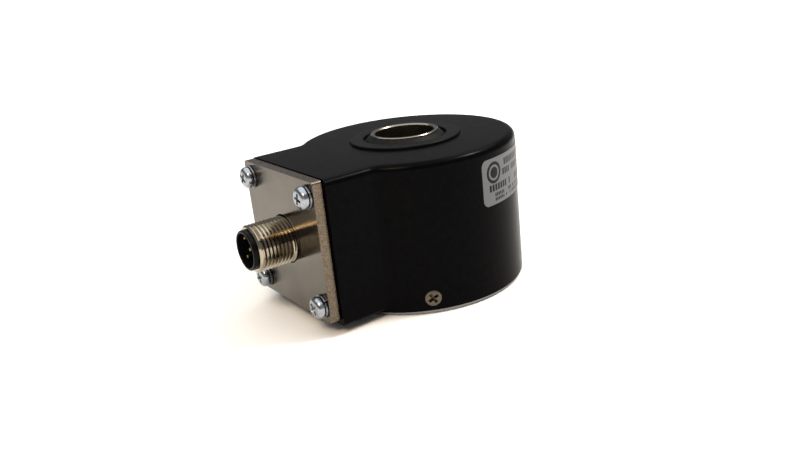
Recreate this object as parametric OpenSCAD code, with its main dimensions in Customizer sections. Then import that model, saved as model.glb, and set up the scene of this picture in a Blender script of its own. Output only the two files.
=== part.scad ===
/* [Cover] */
// Outer diameter of the round part of the cover
body_d = 58; // [57:0.5:72]
// Thickness of the round side wall
wall = 2; // [1.6:0.1:2.4]
// Thickness of the cover's top
top_wall = 2.5; // [2.3:0.1:3.5]
// Radius of the rounded top edge
edge_r = 1.8; // [1:0.1:2.4]
// Room between the circuit board and the inside of the top
headroom = 3.5; // [3:0.1:14]

/* [Connector box] */
// Width of the box
box_w = 38; // [37:0.5:48]
// How far the box reaches out past the round part
box_out = 7; // [6:0.5:14]
// Height of the box's underside above the cover's lower edge
box_lift = 1.3; // [0.8:0.1:1.8]
// Thickness of the box's walls
box_wall = 2.6; // [2.2:0.1:3.2]
// Radius of the box's lower edges
box_foot_r = 0.8; // [0.4:0.1:1.2]
// Radius of the hollow corner between the box and the round part
blend_r = 4; // [3:0.5:6]

/* [Shaft] */
// Diameter of the through bore
bore_d = 15.875; // [12:0.005:16.2]
// Wall of the sleeve at the top of the shaft
sleeve_wall = 1.06; // [0.9:0.01:1.3]
// How far the sleeve stands above the cover
sleeve_rise = 1.7; // [1.3:0.1:8]
// Width of the slits in the clamped end
slit_w = 1.2; // [0.8:0.1:1.6]

/* [Clamp collar] */
// Outer diameter of the collar
collar_d = 31; // [29:0.5:31.5]
// Height of the collar
collar_h = 6; // [5.6:0.1:8]
// Diameter of the clamp screw
clamp_screw_d = 3; // [2.5:0.5:3]

/* [Bearings] */
// Bore of both bearings
bearing_bore = 20; // [19.5:0.5:20.5]
// Outer diameter of both bearings
bearing_od = 32; // [31.5:0.5:32.5]
// Width of both bearings
bearing_w = 7; // [6:0.5:9]
// Diameter of a ball
ball_d = 3.5; // [3:0.1:3.6]
// Number of balls in each bearing
ball_count = 15; // [11:1:16]

/* [Base] */
// Height of the rim that shows below the cover
rim_h = 1; // [0.8:0.1:2]
// How far the rim is set in from the cover's side
rim_inset = 0.4; // [0.2:0.1:1]
// Height of the spigot inside the cover
spigot_h = 7; // [6.8:0.1:9]
// Wall of the tube round the bearings
tube_wall = 2; // [1.8:0.1:2.3]
// Diameter of the circle of mounting holes
mount_circle_d = 42; // [40.5:0.5:43]
// Drilled diameter of a mounting hole, for an M3 thread
mount_hole_d = 2.5; // [2.5:0.1:3]
// Depth of a mounting hole
mount_hole_depth = 6; // [4:0.5:6]

/* [Optics] */
// Thickness of the code disc
disc_t = 0.9; // [0.6:0.1:1.6]
// Width of the ring of code tracks
track_w = 2.4; // [1.6:0.1:2.6]
// Gap between the disc and the sensor
sensor_gap = 0.6; // [0.4:0.1:1.2]

/* [Circuit board] */
// Thickness of the board
board_t = 1.6; // [1:0.1:2]
// Width of the board's tongue that reaches into the box
tongue_w = 16; // [14:0.5:22]

/* [Connector plate] */
// Width of the plate
plate_w = 35.8; // [34.5:0.1:36.5]
// Height of the plate
plate_h = 35.3; // [34.5:0.1:36]
// Thickness of the plate
plate_t = 2.5; // [2:0.1:4]
// Thickness of the gasket behind the plate
gasket_t = 0.3; // [0.2:0.1:0.8]
// Distance between the plate's screws, side to side
plate_screw_span = 29.3; // [27:0.1:29.5]
// Distance between the plate's screws, from lower to upper
plate_screw_rise = 27.5; // [25:0.5:28]
// Diameter of the plate's screws
plate_screw_d = 3; // [2.5:0.1:3]

/* [Connector] */
// Diameter of the connector's thread
thread_d = 12; // [11:0.1:14.5]
// Pitch of the thread
thread_pitch = 1; // [0.75:0.25:1.5]
// Length of the thread outside the plate
thread_len = 9.9; // [8:0.1:14]
// How far the insert stands out of the shell
insert_lip = 1.3; // [0.8:0.1:2]
// Depth of the socket round the pins
socket_depth = 8; // [6.5:0.1:9]
// Diameter of a contact pin
pin_d = 1; // [0.8:0.1:1.1]
// Diameter of the circle of outer pins
pin_circle_d = 7; // [5.5:0.1:7]

/* [Label] */
// Height of the label
label_h = 11.8; // [8:0.1:16]
// Angle that the label goes round the cover
label_angle = 64; // [40:1:80]

/* [Hidden] */
$fn = 96;
cut = 0.5;
fit_gap = 0.1;
thread_gap = 0.03;
close_gap = 0.02;
skin = 0.01;

body_r = body_d / 2;
inner_r = body_r - wall;
bore_r = bore_d / 2;
sleeve_r = bore_r + sleeve_wall;
seat_r = bearing_bore / 2;
clamp_r = seat_r - 0.5;
race_r = bearing_od / 2;
pitch_r = (seat_r + race_r) / 2;
race_lip = 1.3;
groove_r = ball_d / 2 + 0.05;
cage_t = 1;
cage_h = ball_d + 1.1;
chamfer = 0.3;

collar_r = collar_d / 2;
collar_z = 0.6;
recess_gap = 1.5;
recess_r = collar_r + recess_gap;
recess_h = collar_z + collar_h + 0.4;
ledge_h = 1.4;
ledge_r = race_r - 1.4;
clip_t = 1.2;
shaft_z = 0.3;
slit_top = collar_z + collar_h + 0.2;
lower_z = recess_h + ledge_h;
spacer_h = 2.4;
spring_h = 1;
spring_t = 0.35;
upper_z = lower_z + bearing_w + spacer_h + spring_h;
clip_z = upper_z + bearing_w;
hub_screw_z = clip_z + 1.2;
clip_depth = 0.8;
tube_r = race_r + tube_wall;
tube_top = clip_z + clip_t + 0.4;

rim_r = body_r - rim_inset;
spigot_r = inner_r - fit_gap;
spigot_top = rim_h + spigot_h;
seal_wire_d = 1.1;
seal_z = spigot_top - 1.2;
seal_r = inner_r - seal_wire_d / 2 - skin;
seal_groove_h = 1.3;

hub_flange_t = 0.9;
hub_r = seat_r + 2;
hub_screw_r = 0.8;
hub_hex_r = 0.4;
hub_flange_r = hub_r + 3;
flange_z = tube_top + 0.6;
disc_z = flange_z + hub_flange_t;
disc_top = disc_z + disc_t;
disc_ring_t = 0.7;

post_r = 2;
post_circle_r = inner_r - post_r - 0.7;
post_angles = [90, 210, 330];
post_screw_d = 2.5;
post_screw_hole = post_screw_d / 2 + thread_gap;
post_stud_h = 3.8;
disc_r = post_circle_r - post_r - 0.5;
track_r = disc_r - 0.4 - track_w / 2;

sensor_h = 1;
board_z = disc_top + sensor_gap + sensor_h;
board_top = board_z + board_t;
board_r = inner_r - 0.4;
board_hole_r = sleeve_r + 2.5;
ceiling_z = board_top + headroom;
cover_top = ceiling_z + top_wall;
board_screw_head_r = 2.25;
board_screw_head_h = 1.5;

cap_r = 14.7;
cap_gap = 0.15;
cap_shelf = 0.9;
seal_lip_h = 0.6;
seal_lip_in = 0.3;
seal_lip_out = 1.4;
cap_rise = 0.65;
cap_seat = 1.6;
cap_neck_r = cap_r - 2.1;
opening_r = sleeve_r + 2.1;
seal_top_drop = 1.05;
seal_h = 1.1;
seal_z0 = cover_top + cap_rise - seal_top_drop - seal_h;
dust_ring_z = seal_z0 + seal_h + 0.25;
dust_ring_top = cover_top + sleeve_rise - 0.5;
dust_ring_r = opening_r - 0.75;
dust_ring_edge = 0.35;

box_end = body_r + box_out;
box_z0 = rim_h + box_lift;
box_zc = (box_z0 + cover_top) / 2 + 0.5;
boss_r = 3.6;
plate_in_x = -box_end - gasket_t;
plate_x = plate_in_x - plate_t;

blend_overlap = 0.05;

cover_screw_angles = [-118.4, 1.6, 121.6];
cover_screw_z = rim_h + 3.13;
cover_screw_head_r = 2.15;
cover_screw_r = 1.08;
cover_screw_len = 7.4;
cover_screw_sink = 0.1;

clamp_screw_r = clamp_screw_d / 2;
clamp_screw_x = (clamp_r + collar_r) / 2 + 0.2;
clamp_screw_z = collar_z + collar_h / 2;
clamp_head_r = clamp_screw_r * 1.75;
clamp_head_y = 3;
clamp_screw_len = 9;
hole_gap = 0.15;
access_r = 1.8;
cover_screw_slot = [1.4, 2.4, 0.5];

connector_z = box_zc + 0.15;
thread_r = thread_d / 2;
thread_depth = thread_pitch * 0.6;
shell_x = plate_x - thread_len;
insert_x = shell_x - insert_lip;
shell_bore_r = thread_r - thread_depth - 0.5;
insert_r = shell_bore_r - 0.02;
lip_r = thread_r - 0.9;
socket_r = insert_r - 0.5;
key_w = 1.2;
flange_af = thread_d + 4;
flange_t = 2.5;
shell_rear = 1.8;
shell_chamfer = 0.4;
shell_rear_r = thread_r + 0.5;
shell_seal_d = 1;
shell_groove = 0.8;
shell_seal_r = thread_r + 0.95;
neck_r = thread_r - 0.3;
plate_hole_r = thread_r + 0.3;
shell_end_x = plate_in_x + flange_t + shell_rear;
insert_end_x = shell_end_x + 1.8;
pin_end_x = insert_end_x + 2;
pin_tip_x = insert_x + 1.2;
pin_r = pin_d / 2;
pin_point = 0.4;
pin_angles = [45, 135, 225, 315];
pin_places = concat([[0, 0]], [for (a = pin_angles) pin_circle_d / 2 * [cos(a), sin(a)]]);

screw_r = plate_screw_d / 2;
screw_head_r = screw_r * 1.86;
screw_head_h = screw_r * 1.25;
screw_len = 7;
screw_crown_h = 0.8;
screw_crown_r = screw_head_r * 0.72;
screw_slot = [2.4, 3, 0.7];
washer_t = 0.7;
washer_gap = 0.05;
washer_turn = 38;
washer_split = 0.35;
washer_r = screw_r * 1.95;
screw_places =
    [for (y = [-1, 1], z = [-1, 1]) [y * plate_screw_span / 2, box_zc + z * plate_screw_rise / 2]];

header_x = -(inner_r + 2.4);
header_w = 12;
header_d = 3.6;
header_h = 3.4;
tongue_end = box_end - 4.5;
processor = [6, 6, 1];
line_driver = [4, 5, 1.5];
capacitor = [3.5, 2.8, 1.8];
resistor = [1.6, 0.8, 0.8];
filter = [2, 1.25, 1];
wire_r = 0.5;
wire_sides = 8;
wire_near = 2.6;
wire_far = 4.8;
lamp_angle = 30;
lamp_bracket_w = 8;
lamp_bracket_d = disc_r - tube_r - 0.2;
lamp_bracket_top = disc_z - 0.7;
lamp_bracket_h = 9;
lamp_x = track_r;
lamp_r = 1.25;
lamp_body_h = 1.7;
lamp_sink = 2.6;
lamp_screw_r = 1;
lamp_head_r = 1.8;
lamp_head_h = 1.2;
lamp_seat_x = tube_r + 1.6;
lamp_slot = [1, 2.2, 0.45];

label_t = 0.12;
label_z = rim_h + 23.1;
label_start = -86.9;

/* Shapes that several pieces share */

module ring(r_in, r_out, z0, z1) {
    translate([0, 0, z0])
        difference() {
            cylinder(r = r_out, h = z1 - z0);
            translate([0, 0, -cut]) cylinder(r = r_in, h = z1 - z0 + 2 * cut);
        }
}

module around(angles) {
    for (a = angles) rotate([0, 0, a]) children();
}

module along_x(x) {
    translate([x, 0, 0]) rotate([0, 90, 0]) children();
}

module at_plate_screws() {
    for (p = screw_places) translate([0, p[0], p[1]]) children();
}

/* Outside of the cover */

module round_profile() {
    h = cover_top - rim_h;
    translate([0, rim_h]) {
        square([body_r - edge_r, h]);
        square([body_r, h - edge_r]);
        translate([body_r - edge_r, h - edge_r]) circle(r = edge_r);
    }
}

module box_profile() {
    half = box_w / 2;
    h = cover_top - box_z0;
    translate([0, box_z0]) {
        translate([-half, box_foot_r]) square([box_w, h - box_foot_r - edge_r]);
        translate([edge_r - half, box_foot_r]) square([box_w - 2 * edge_r, h - box_foot_r]);
        translate([box_foot_r - half, 0]) square([box_w - 2 * box_foot_r, h / 2]);
        for (s = [-1, 1]) {
            translate([s * (half - edge_r), h - edge_r]) circle(r = edge_r);
            translate([s * (half - box_foot_r), box_foot_r]) circle(r = box_foot_r);
        }
    }
}

module box_outside() {
    rotate([90, 0, -90]) linear_extrude(height = box_end) mirror([1, 0]) box_profile();
}

module blend_cutter() {
    h = cover_top - edge_r;
    rotate_extrude() {
        translate([0, -cut]) square([blend_r, h + 2 * cut]);
        difference() {
            translate([0, h]) square([blend_r + edge_r, edge_r + cut]);
            translate([blend_r + edge_r, h]) circle(r = edge_r);
        }
    }
}

module blend_corner() {
    half = box_w / 2;
    inside = half - edge_r - 1;
    cy = half + blend_r;
    reach = body_r + blend_r - blend_overlap;
    cx = -sqrt(reach * reach - cy * cy);
    k = (body_r - edge_r - 1) / reach;
    difference() {
        translate([0, 0, box_z0])
            linear_extrude(height = cover_top - box_z0)
                polygon([[cx, inside], [cx, cy], [cx * k, cy * k], [cx * k, inside]]);
        translate([cx, cy, 0]) blend_cutter();
    }
}

module box_cavity() {
    half = box_w / 2 - box_wall;
    z0 = box_z0 + box_wall;
    h = cover_top - box_wall - z0;
    corner = box_w / 2 - plate_screw_span / 2;
    rotate([90, 0, -90])
        translate([0, 0, inner_r * 0.7])
            linear_extrude(height = box_end - inner_r * 0.7 + cut)
                mirror([1, 0])
                    difference() {
                        translate([-half, z0]) square([2 * half, h]);
                        for (p = screw_places) translate([p[0], p[1]]) circle(r = boss_r);
                        for (sy = [-1, 1], sz = [-1, 1])
                            translate([sy * (half - corner / 4), box_zc + sz * (h / 2 + 1)])
                                square([corner, corner], center = true);
                    }
}

module cover_screw_shape(gap) {
    head_x = body_r - cover_screw_sink;
    cone_h = cover_screw_head_r - cover_screw_r;
    rotate([0, 90, 0]) {
        translate([0, 0, head_x - cone_h])
            cylinder(r1 = cover_screw_r + gap, r2 = cover_screw_head_r + gap, h = cone_h);
        translate([0, 0, head_x - cover_screw_len])
            cylinder(r = cover_screw_r + gap, h = cover_screw_len - cone_h + skin);
    }
}

module cover() {
    color("#1c1c1e")
        difference() {
            union() {
                rotate_extrude() round_profile();
                box_outside();
                blend_corner();
                mirror([0, 1, 0]) blend_corner();
            }
            translate([0, 0, rim_h - cut]) cylinder(r = inner_r, h = ceiling_z - rim_h + cut);
            box_cavity();
            translate([0, 0, ceiling_z - cut]) cylinder(r = cap_neck_r + fit_gap, h = top_wall + 2 * cut);
            translate([0, 0, cover_top - cap_seat])
                cylinder(r = cap_r + cap_gap, h = cap_seat + cut);
            around(cover_screw_angles)
                translate([0, 0, cover_screw_z]) {
                    cover_screw_shape(close_gap);
                    rotate([0, 90, 0])
                        translate([0, 0, body_r - cover_screw_sink - skin])
                            cylinder(r = cover_screw_head_r + close_gap, h = 2 * cut);
                }
            access_hole(access_r);
            at_plate_screws() along_x(-box_end - cut) cylinder(r = screw_r + thread_gap, h = screw_len);
        }
}

module access_hole(r) {
    translate([clamp_screw_x, clamp_head_y + 1, clamp_screw_z])
        rotate([-90, 0, 0]) cylinder(r = r, h = body_r);
}

module access_plug() {
    color("#26262a")
        difference() {
            intersection() {
                access_hole(access_r - close_gap);
                cylinder(r = body_r - 0.05, h = cover_top);
            }
            cylinder(r = inner_r + 0.05, h = cover_top);
        }
}

module cover_screws() {
    color("#b9b4a8")
        around(cover_screw_angles)
            translate([0, 0, cover_screw_z])
                difference() {
                    cover_screw_shape(0);
                    for (t = [0, 90])
                        translate([body_r, 0, 0]) rotate([t, 0, 0]) cube(cover_screw_slot, center = true);
                }
}

module label() {
    color("#d9d9d6")
        rotate([0, 0, label_start])
            rotate_extrude(angle = label_angle)
                translate([body_r, label_z]) square([label_t, label_h]);
}

/* Base and what seals it */

module base() {
    color("#c3c5c8")
        difference() {
            union() {
                cylinder(r1 = rim_r - chamfer, r2 = rim_r, h = chamfer);
                translate([0, 0, chamfer]) cylinder(r = rim_r, h = rim_h - chamfer);
                cylinder(r = spigot_r, h = spigot_top);
                cylinder(r = tube_r, h = tube_top);
            }
            translate([0, 0, -cut]) cylinder(r = recess_r, h = recess_h + cut);
            cylinder(r = ledge_r, h = tube_top);
            translate([0, 0, lower_z]) cylinder(r = race_r, h = tube_top);
            translate([0, 0, clip_z]) cylinder(r = race_r + clip_depth, h = clip_t);
            ring(seal_r - seal_wire_d / 2 - skin, inner_r + cut, seal_z - seal_groove_h / 2,
                seal_z + seal_groove_h / 2);
            around(cover_screw_angles) translate([0, 0, cover_screw_z]) cover_screw_shape(thread_gap);
            access_hole(access_r);
            around([for (a = post_angles) a - 60])
                translate([mount_circle_d / 2, 0, -cut])
                    cylinder(d = mount_hole_d, h = mount_hole_depth + cut);
            around(post_angles)
                translate([post_circle_r, 0, spigot_top - post_stud_h - 0.2])
                    cylinder(r = post_screw_hole, h = post_stud_h + 1);
            rotate([0, 0, lamp_angle])
                translate([0, 0, lamp_bracket_top - lamp_bracket_h / 2])
                    along_x(race_r + 0.4) cylinder(r = lamp_screw_r + thread_gap, h = tube_wall);
        }
}

module base_seal() {
    color("#1b1b1b")
        translate([0, 0, seal_z]) rotate_extrude() translate([seal_r, 0]) circle(d = seal_wire_d, $fn = 32);
}

module top_cap() {
    top = cover_top + cap_rise;
    color("#26262a")
        difference() {
            union() {
                translate([0, 0, cover_top - cap_seat])
                    cylinder(r = cap_r, h = cap_seat + cap_rise - chamfer);
                translate([0, 0, top - chamfer]) cylinder(r1 = cap_r, r2 = cap_r - chamfer, h = chamfer);
                translate([0, 0, ceiling_z - 0.3]) cylinder(r = cap_neck_r, h = top_wall);
            }
            translate([0, 0, seal_z0]) cylinder(r = opening_r, h = top);
            cylinder(r = opening_r - cap_shelf, h = top);
            translate([0, 0, top - chamfer])
                cylinder(r1 = opening_r, r2 = opening_r + chamfer, h = chamfer + skin);
        }
}

module shaft_seal() {
    color("#151515")
        translate([0, 0, seal_z0])
            difference() {
                cylinder(r = opening_r - close_gap, h = seal_h);
                translate([0, 0, -cut]) cylinder(r = sleeve_r + 0.05, h = seal_h + 2 * cut);
                translate([0, 0, seal_h - seal_lip_h])
                    cylinder(r1 = sleeve_r + seal_lip_in, r2 = sleeve_r + seal_lip_out,
                        h = seal_lip_h + skin);
            }
}

/* Bearings, spacer, spring and clips */

module outer_race(z0) {
    translate([0, 0, z0])
        rotate_extrude()
            difference() {
                translate([pitch_r + race_lip, 0]) square([race_r - pitch_r - race_lip, bearing_w]);
                translate([pitch_r, bearing_w / 2]) circle(r = groove_r);
            }
}

module inner_race(z0) {
    translate([0, 0, z0])
        rotate_extrude()
            difference() {
                translate([seat_r, 0]) square([pitch_r - race_lip - seat_r, bearing_w]);
                translate([pitch_r, bearing_w / 2]) circle(r = groove_r);
            }
}

module balls(z0) {
    for (i = [0 : ball_count - 1])
        rotate([0, 0, i * 360 / ball_count])
            translate([pitch_r, 0, z0 + bearing_w / 2]) sphere(d = ball_d, $fn = 48);
}

module cage(z0) {
    mid = z0 + bearing_w / 2;
    difference() {
        ring(pitch_r - cage_t / 2, pitch_r + cage_t / 2, mid - cage_h / 2, mid + cage_h / 2);
        for (i = [0 : ball_count - 1])
            rotate([0, 0, i * 360 / ball_count])
                translate([pitch_r, 0, mid]) sphere(r = groove_r, $fn = 48);
    }
}

module lower_outer_race() {
    color("#b8bcc2") outer_race(lower_z);
}

module upper_outer_race() {
    color("#b8bcc2") outer_race(upper_z);
}

module lower_inner_race() {
    color("#b8bcc2") inner_race(lower_z);
}

module upper_inner_race() {
    color("#b8bcc2") inner_race(upper_z);
}

module lower_balls() {
    color("#d5d8dc") balls(lower_z);
}

module upper_balls() {
    color("#d5d8dc") balls(upper_z);
}

module lower_cage() {
    color("#b98b4a") cage(lower_z);
}

module upper_cage() {
    color("#b98b4a") cage(upper_z);
}

module bearing_spacer() {
    z0 = lower_z + bearing_w;
    color("#a9adb2") ring(ledge_r, race_r - close_gap, z0, z0 + spacer_h);
}

function wave(a, t) = spring_h / 2 + (spring_h - spring_t) / 2 * cos(3 * a) + t * spring_t / 2;

module preload_spring() {
    z0 = lower_z + bearing_w + spacer_h;
    n = 72;
    r_in = ledge_r + 0.1;
    r_out = race_r - 0.1;
    corners = [[r_in, -1], [r_out, -1], [r_out, 1], [r_in, 1]];
    points = [for (i = [0 : n - 1], c = corners)
        [c[0] * cos(i * 360 / n), c[0] * sin(i * 360 / n), z0 + wave(i * 360 / n, c[1] * 0.96)]];
    faces = [for (i = [0 : n - 1], j = [0 : 3])
        let (a = 4 * i, b = 4 * ((i + 1) % n), k = (j + 1) % 4) [a + j, a + k, b + k, b + j]];
    color("#9fa3a8") polyhedron(points, faces);
}

module bearing_clip() {
    color("#6e7074")
        difference() {
            ring(race_r - 2.2, race_r + clip_depth - 0.05, clip_z + close_gap, clip_z + clip_t - 0.05);
            rotate([0, 0, -30]) translate([race_r - 3, -3, clip_z - cut]) cube([5, 6, clip_t + 2 * cut]);
        }
}

module shaft_clip() {
    color("#6e7074")
        difference() {
            ring(clamp_r + close_gap, seat_r + 1.8, lower_z - clip_t + 0.05, lower_z - close_gap);
            translate([seat_r - 1.5, -2, lower_z - clip_t - cut]) cube([5, 4, clip_t + 2 * cut]);
        }
}

/* Rotor */

module hollow_shaft() {
    shoulder_z = clip_z;
    top = cover_top + sleeve_rise;
    color("#c9ccd0")
        difference() {
            rotate_extrude()
                polygon([[bore_r, shaft_z], [clamp_r - chamfer, shaft_z], [clamp_r, shaft_z + chamfer],
                    [clamp_r, lower_z - close_gap], [seat_r - skin, lower_z - close_gap],
                    [seat_r - skin, shoulder_z], [sleeve_r, shoulder_z], [sleeve_r, top - 0.15],
                    [sleeve_r - 0.15, top], [bore_r + chamfer, top], [bore_r, top - chamfer]]);
            for (a = [45, 135])
                rotate([0, 0, a])
                    translate([-seat_r - cut, -slit_w / 2, -cut])
                        cube([2 * seat_r + 2 * cut, slit_w, slit_top + cut]);
        }
}

module disc_hub() {
    color("#b4b7bb")
        difference() {
            union() {
                cylinder(r = hub_r, h = disc_top);
                translate([0, 0, flange_z]) cylinder(r = hub_flange_r, h = hub_flange_t);
            }
            translate([0, 0, -1]) cylinder(r = 2 * seat_r, h = clip_z + 1.05);
            cylinder(r = sleeve_r + skin, h = cover_top);
            hub_screw_holes(hub_screw_r + thread_gap);
        }
}

module hub_screw_holes(r) {
    for (a = [0, 120])
        rotate([0, 0, a])
            translate([0, 0, hub_screw_z]) along_x(sleeve_r - 1) cylinder(r = r, h = hub_r);
}

module hub_set_screws() {
    color("#55585c")
        for (a = [0, 120])
            rotate([0, 0, a])
                translate([0, 0, hub_screw_z])
                    difference() {
                        along_x(sleeve_r + close_gap)
                            cylinder(r = hub_screw_r, h = hub_r - sleeve_r - hub_hex_r);
                        along_x(hub_r - 3 * hub_hex_r) cylinder(r = hub_hex_r, h = 2, $fn = 6);
                    }
}

module code_disc() {
    color("#dfe3e8")
        difference() {
            ring(hub_r + close_gap, disc_r, disc_z, disc_top);
            around([for (i = [0 : 2]) i * 120])
                translate([hub_flange_r - 1.2, 0, disc_z - cut]) cylinder(r = 0.5, h = disc_t + 2 * cut);
        }
}

module disc_ring() {
    color("#8b8f94") ring(sleeve_r + 0.6, hub_flange_r, disc_top, disc_top + disc_ring_t);
}

module dust_ring() {
    foot_r = sleeve_r + skin;
    color("#151515")
        rotate_extrude()
            polygon([[foot_r, dust_ring_z], [dust_ring_r, dust_ring_z], [dust_ring_r,
                dust_ring_z + dust_ring_edge],
                [foot_r + dust_ring_edge, dust_ring_top], [foot_r, dust_ring_top]]);
}

module clamp_collar() {
    color("#3a3c40")
        difference() {
            ring(clamp_r + skin, collar_r, collar_z, collar_z + collar_h);
            translate([0, -slit_w / 2, 0]) cube([collar_r + 1, slit_w, recess_h]);
            translate([clamp_screw_x, 0, clamp_screw_z])
                rotate([-90, 0, 0]) {
                    cylinder(r = clamp_screw_r + hole_gap, h = collar_r);
                    translate([0, 0, clamp_head_y]) cylinder(r = clamp_head_r + hole_gap, h = collar_r);
                    translate([0, 0, -7]) cylinder(r = clamp_screw_r + thread_gap, h = 8);
                }
        }
}

module clamp_screw() {
    head_h = clamp_screw_d;
    color("#2e3034")
        translate([clamp_screw_x, clamp_head_y, clamp_screw_z])
            rotate([-90, 0, 0])
                difference() {
                    union() {
                        translate([0, 0, -clamp_screw_len])
                            cylinder(r = clamp_screw_r, h = clamp_screw_len + fit_gap);
                        translate([0, 0, close_gap]) cylinder(r = clamp_head_r, h = head_h - 0.2);
                    }
                    translate([0, 0, head_h - 1.6]) cylinder(r = clamp_screw_r * 0.95, h = 3, $fn = 6);
                }
}

/* Optics and electronics */

module board_pillars() {
    color("#c9a95c")
        around(post_angles)
            translate([post_circle_r, 0, 0])
                difference() {
                    union() {
                        translate([0, 0, spigot_top])
                            cylinder(r = post_r, h = board_z - spigot_top, $fn = 6);
                        translate([0, 0, spigot_top - post_stud_h])
                            cylinder(d = post_screw_d, h = post_stud_h + 1);
                    }
                    translate([0, 0, board_z - 6]) cylinder(r = post_screw_hole, h = 7);
                }
}

module board_screws() {
    color("#c5c8cc")
        around(post_angles)
            translate([post_circle_r, 0, 0])
                difference() {
                    union() {
                        translate([0, 0, board_z - 5]) cylinder(d = post_screw_d, h = 5 + board_t);
                        translate([0, 0, board_top])
                            cylinder(r = board_screw_head_r, h = board_screw_head_h);
                    }
                    for (t = [0, 90])
                        translate([0, 0, board_top + board_screw_head_h])
                            rotate([0, 0, t]) cube([2.6, 0.5, 1.4], center = true);
                }
}

module circuit_board() {
    color("#1f6b3a")
        translate([0, 0, board_z])
            difference() {
                union() {
                    cylinder(r = board_r, h = board_t);
                    translate([-tongue_end, -tongue_w / 2, 0]) cube([tongue_end, tongue_w, board_t]);
                }
                translate([0, 0, -cut]) cylinder(r = board_hole_r, h = board_t + 2 * cut);
                around(post_angles)
                    translate([post_circle_r, 0, -cut])
                        cylinder(d = post_screw_d + 0.3, h = board_t + 2 * cut);
            }
}

module on_board(angle, radius, size) {
    rotate([0, 0, angle]) translate([radius, 0, size[2] / 2]) cube(size, center = true);
}

module board_parts() {
    mid = (board_hole_r + board_r) / 2;
    color("#2b2d31")
        translate([0, 0, board_top]) {
            on_board(50, mid, processor);
            for (a = [-40, 145]) on_board(a, mid, line_driver);
            on_board(180, mid, capacitor);
            for (a = [0 : 14 : 28]) on_board(a, mid, resistor);
            for (a = [112, 122]) on_board(a, mid, filter);
            for (a = [-110 : 14 : -68]) on_board(a, mid, resistor);
            for (a = [240, 232]) on_board(a, mid - 2.5, resistor);
        }
}

module sensor_chip() {
    color("#17181a")
        rotate([0, 0, lamp_angle])
            translate([track_r, 0, board_z - sensor_h / 2]) cube([track_w + 2, 6, sensor_h], center = true);
}

module lamp_bracket() {
    color("#202226")
        rotate([0, 0, lamp_angle])
            difference() {
                translate([tube_r - 1, -lamp_bracket_w / 2, lamp_bracket_top - lamp_bracket_h])
                    cube([lamp_bracket_d + 1, lamp_bracket_w, lamp_bracket_h]);
                cylinder(r = tube_r + close_gap, h = disc_z);
                translate([lamp_x, 0, lamp_bracket_top - lamp_sink])
                    cylinder(r = lamp_r + close_gap, h = 4);
                translate([0, 0, lamp_bracket_top - lamp_bracket_h / 2]) {
                    along_x(tube_r - 2) cylinder(r = lamp_screw_r + fit_gap, h = 12);
                    along_x(lamp_seat_x) cylinder(r = lamp_head_r + hole_gap, h = 12);
                }
            }
}

module lamp() {
    color("#cfe3ea")
        rotate([0, 0, lamp_angle])
            translate([lamp_x, 0, lamp_bracket_top - lamp_sink + close_gap]) {
                cylinder(r = lamp_r, h = lamp_body_h);
                translate([0, 0, lamp_body_h]) sphere(r = lamp_r, $fn = 48);
            }
}

module lamp_screw() {
    color("#c5c8cc")
        rotate([0, 0, lamp_angle])
            translate([0, 0, lamp_bracket_top - lamp_bracket_h / 2])
                difference() {
                    union() {
                        along_x(race_r + 0.5) cylinder(r = lamp_screw_r, h = tube_wall + 1.2);
                        along_x(lamp_seat_x + close_gap) cylinder(r = lamp_head_r, h = lamp_head_h);
                    }
                    for (t = [0, 90])
                        translate([lamp_seat_x + close_gap + lamp_head_h, 0, 0]) rotate([t, 0, 0])
                            cube(lamp_slot, center = true);
                }
}

module wire_header() {
    color("#e8e6df")
        translate([header_x - header_d / 2, -header_w / 2, board_z - header_h])
            cube([header_d, header_w, header_h]);
}

/* One wire is swept along points with flat sides */

function unit(v) = v / norm(v);
function wire_dir(p, i) = unit(p[min(i + 1, len(p) - 1)] - p[max(i - 1, 0)]);
function wire_ring(p, i) =
    let (d = wire_dir(p, i), s = unit(cross(d, abs(d[1]) > 0.9 ? [1, 0, 0] : [0, 1, 0])), t = cross(d, s))
    [for (k = [0 : wire_sides - 1])
        let (a = k * 360 / wire_sides) p[i] + wire_r * (cos(a) * s + sin(a) * t)];
function bend(p0, p1, p2, p3, t) =
    pow(1 - t, 3) * p0 + 3 * t * pow(1 - t, 2) * p1 + 3 * t * t * (1 - t) * p2 + t * t * t * p3;

module wire(path) {
    n = len(path);
    rings = [for (i = [0 : n - 1]) each wire_ring(path, i)];
    sides = [for (i = [0 : n - 2], k = [0 : wire_sides - 1])
        let (a = i * wire_sides, b = a + wire_sides, m = (k + 1) % wire_sides) [a + k, b + k,
            b + m, a + m]];
    ends = [[for (k = [0 : wire_sides - 1]) k],
        [for (k = [wire_sides - 1 : -1 : 0]) (n - 1) * wire_sides + k]];
    polyhedron(rings, concat(sides, ends));
}

module signal_wires() {
    steps = 12;
    end_h = 0.5;
    color("#b5432f")
        for (p = pin_places) {
            low = p[1] < -0.1;
            high = p[1] > 0.1;
            a = [pin_end_x + close_gap, p[0], connector_z + p[1]];
            d = [header_x, sign(round(p[0])) * (high ? wire_near : wire_far),
                board_z - header_h - close_gap];
            a1 = a + [end_h, 0, 0];
            d1 = d - [0, 0, end_h];
            reach = [low ? 5.6 : high ? 2 : 3, 0, 0];
            drop = [low ? 4.5 : 0, 0, high ? -1.5 : -3.5];
            curve = [for (s = [0 : steps]) bend(a1, a1 + reach, d1 + drop, d1, s / steps)];
            wire(concat([a], curve, [d]));
        }
}

/* Connector plate and its fasteners */

module plate_outline(t) {
    translate([0, -plate_w / 2, box_zc - plate_h / 2]) cube([t, plate_w, plate_h]);
}

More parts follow.
